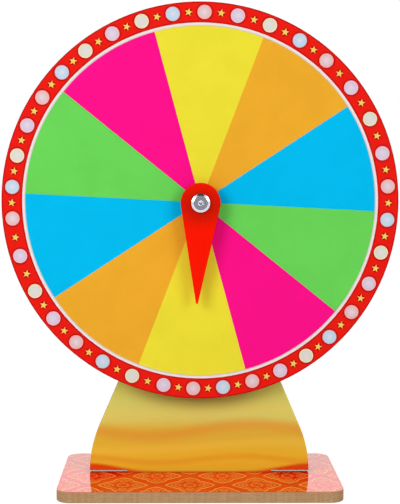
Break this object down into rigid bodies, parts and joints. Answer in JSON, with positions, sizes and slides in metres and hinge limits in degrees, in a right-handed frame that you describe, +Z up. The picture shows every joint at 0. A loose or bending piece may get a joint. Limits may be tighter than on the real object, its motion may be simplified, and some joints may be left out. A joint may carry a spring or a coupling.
{
  "type": "carnival game wheel",
  "caption": "Tabletop game wheel: a round board of coloured sectors spins on a ball bearing on a flat board stand, with a free red pointer hanging from the same axle.",
  "frame": {"origin": "centre of the base board's underside, on the surface that the wheel stands on", "axes": "+Z up; the front faces -Y, so the axle runs along Y; +X to the right seen from the front"},
  "size_m": [0.3, 0.12, 0.3692],
  "materials": {
    "board": "bare fibreboard, matt",
    "base_print": "glossy printed film",
    "stand_print": "satin printed film",
    "wheel_white": "satin white film",
    "rim_red": "satin printed film",
    "sector_yellow": "satin film",
    "sector_orange": "satin film",
    "sector_blue": "satin film",
    "sector_green": "satin film",
    "sector_pink": "satin film",
    "bulb_pink": "satin film",
    "bulb_lilac": "satin film",
    "bulb_cream": "satin film",
    "bulb_blue": "satin film",
    "star_yellow": "satin film",
    "pointer_acrylic": "glossy red acrylic",
    "bolt_plating": "bright nickel plate",
    "zinc_steel": "zinc-plated steel",
    "bearing_steel": "ground bearing steel",
    "nylon": "natural nylon"
  },
  "bodies": {
    "frame": {"base_board": "board", "base_film": "base_print", "stand_board": "board", "stand_film": "stand_print", "axle_bolt": "bolt_plating", "stand_washer_front": "zinc_steel", "stand_washer_rear": "zinc_steel", "lock_nut": "zinc_steel", "lock_nut_insert": "nylon", "rear_spacer": "zinc_steel", "front_spacer": "zinc_steel", "pointer_washer": "zinc_steel", "pointer_sleeve": "zinc_steel", "bearing_inner_ring": "bearing_steel"},
    "wheel": {"wheel_board": "board", "wheel_laminate": "wheel_white", "rim_band": "rim_red", "sector_01": "sector_yellow", "sector_02": "sector_orange", "sector_03": "sector_blue", "sector_04": "sector_green", "sector_05": "sector_pink", "sector_06": "sector_yellow", "sector_07": "sector_orange", "sector_08": "sector_blue", "sector_09": "sector_green", "sector_10": "sector_pink", "bulbs_pink": "bulb_pink", "bulbs_lilac": "bulb_lilac", "bulbs_cream": "bulb_cream", "bulbs_blue": "bulb_blue", "stars": "star_yellow", "bearing_outer_ring": "bearing_steel", "bearing_shield_front": "bearing_steel", "bearing_shield_rear": "bearing_steel"},
    "ball_cage": {"bearing_balls": "bearing_steel", "bearing_cage": "bearing_steel"},
    "pointer": {"pointer_blade": "pointer_acrylic", "pointer_bush": "nylon"}
  },
  "joints": [
    {"name": "wheel_spin", "type": "hinge", "parent": "frame", "child": "wheel", "pos_m": [0, 0, 0.2192], "axis": [0, 1, 0], "continuous": true},
    {"name": "pointer_spin", "type": "hinge", "parent": "frame", "child": "pointer", "pos_m": [0, 0, 0.2192], "axis": [0, 1, 0], "continuous": true},
    {"name": "cage_spin", "type": "hinge", "parent": "frame", "child": "ball_cage", "pos_m": [0, 0, 0.2192], "axis": [0, 1, 0], "continuous": true}
  ],
  "couplings": [
    {"joint": "cage_spin", "follows": "wheel_spin", "ratio": 0.64}
  ]
}
